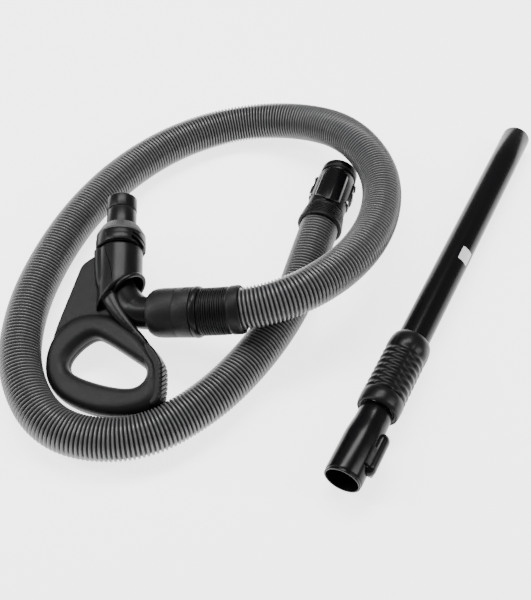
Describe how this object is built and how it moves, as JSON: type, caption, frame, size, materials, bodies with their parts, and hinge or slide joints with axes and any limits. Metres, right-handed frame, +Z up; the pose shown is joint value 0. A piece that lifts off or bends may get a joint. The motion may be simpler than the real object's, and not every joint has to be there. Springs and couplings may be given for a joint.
{
  "type": "vacuum cleaner hose and wand set",
  "caption": "Corrugated suction hose with a swivel grip handle and a machine-end connector, and a separate telescopic suction wand with a locking sleeve.",
  "frame": {"origin": "on the floor, under the middle of the box of handle and wand", "axes": "+Z up from the floor, +Y away from the viewer, +X to the right, towards the wand"},
  "size_m": [0.6374, 0.5509, 0.1043],
  "materials": {
    "satin_black": "satin moulded plastic",
    "gloss_black": "glossy moulded plastic",
    "textured_black": "fine spark-eroded texture",
    "soft_black": "soft rubber",
    "hose_grey": "semi-gloss corrugated plastic",
    "flute_grey": "satin grey plastic",
    "tube_black": "glossy black enamelled steel tube",
    "steel": "plain spring steel",
    "chrome_tube": "bright steel tube",
    "label_pale": "plain paper label",
    "seal_rubber": "seal rubber"
  },
  "bodies": {
    "handle": {"handle_top_shell": "textured_black", "handle_bottom_shell": "textured_black", "handle_trim_band": "gloss_black", "handle_tail_pad": "soft_black", "handle_screws": "steel", "arch_collar": "satin_black", "elbow": "satin_black", "elbow_bearing": "satin_black", "neck_seat": "satin_black", "spigot": "satin_black", "spigot_seal": "seal_rubber", "fluted_ring": "flute_grey", "boot": "soft_black", "boot_ring": "satin_black", "hose_insert": "satin_black", "hose": "hose_grey", "connector_skirt": "satin_black", "connector_bush": "satin_black"},
    "suction_ring": {"suction_ring": "gloss_black"},
    "cuff": {"cuff_shell": "textured_black", "cuff_clip": "satin_black", "cuff_collar": "satin_black"},
    "connector": {"connector_body": "satin_black", "connector_tip": "satin_black", "connector_seal": "seal_rubber", "connector_panel": "gloss_black", "latch_pin_left": "steel", "latch_pin_right": "steel"},
    "latch_left": {"latch_left": "satin_black"},
    "latch_right": {"latch_right": "satin_black"},
    "wand": {"wand_outer_tube": "tube_black", "wand_guide_bush": "satin_black", "wand_spring_seat": "satin_black", "wand_sticker": "label_pale", "wand_sleeve_spring": "steel", "wand_end_rim": "tube_black"},
    "wand_sleeve": {"wand_sleeve": "satin_black", "wand_sleeve_nose": "satin_black"},
    "lock_pawl": {"wand_lock_pawl": "satin_black"},
    "wand_inner": {"wand_inner_tube": "chrome_tube", "wand_socket": "gloss_black", "wand_button_housing": "gloss_black"},
    "release_button": {"wand_release_button": "satin_black"}
  },
  "joints": [
    {"name": "suction_ring_turn", "type": "hinge", "parent": "handle", "child": "suction_ring", "pos_m": [-0.21785, 0.02958, 0.05559], "axis": [-0.0495, 0.9854, 0.1628], "range_deg": [0, 45]},
    {"name": "cuff_swivel", "type": "hinge", "parent": "handle", "child": "cuff", "pos_m": [-0.152, -0.065, 0.0553], "axis": [0.9669, -0.1299, 0.2196], "continuous": true},
    {"name": "connector_swivel", "type": "hinge", "parent": "handle", "child": "connector", "pos_m": [0.02006, 0.10906, 0.0275], "axis": [0.303, 0.953, 0], "continuous": true},
    {"name": "latch_left_press", "type": "hinge", "parent": "connector", "child": "latch_left", "pos_m": [0.00238, 0.12937, 0.0275], "axis": [0, 0, -1], "range_deg": [0, 4], "stiffness_Nm_per_rad": 0.6, "springref_deg": -2.86},
    {"name": "latch_right_press", "type": "hinge", "parent": "connector", "child": "latch_right", "pos_m": [0.04622, 0.11543, 0.0275], "axis": [0, 0, 1], "range_deg": [0, 4], "stiffness_Nm_per_rad": 0.6, "springref_deg": -2.86},
    {"name": "wand_lift", "type": "slide", "parent": "handle", "child": "wand", "axis": [0, 0, 1], "range_m": [0, 0.25]},
    {"name": "wand_telescope", "type": "slide", "parent": "wand", "child": "wand_inner", "axis": [-0.4559, -0.8899, 0.0166], "range_m": [0, 0.336]},
    {"name": "sleeve_slide", "type": "slide", "parent": "wand", "child": "wand_sleeve", "axis": [0.4559, 0.8899, -0.0166], "range_m": [0, 0.008], "stiffness_N_per_m": 900, "springref_m": -0.004},
    {"name": "release_button_press", "type": "slide", "parent": "wand_inner", "child": "release_button", "axis": [-0.7245, 0.3602, -0.5877], "range_m": [0, 0.002], "stiffness_N_per_m": 600, "springref_m": -0.002},
    {"name": "lock_pawl_lift", "type": "slide", "parent": "wand", "child": "lock_pawl", "axis": [0.0076, 0.0148, 0.9999], "range_m": [0, 0.0008]}
  ]
}
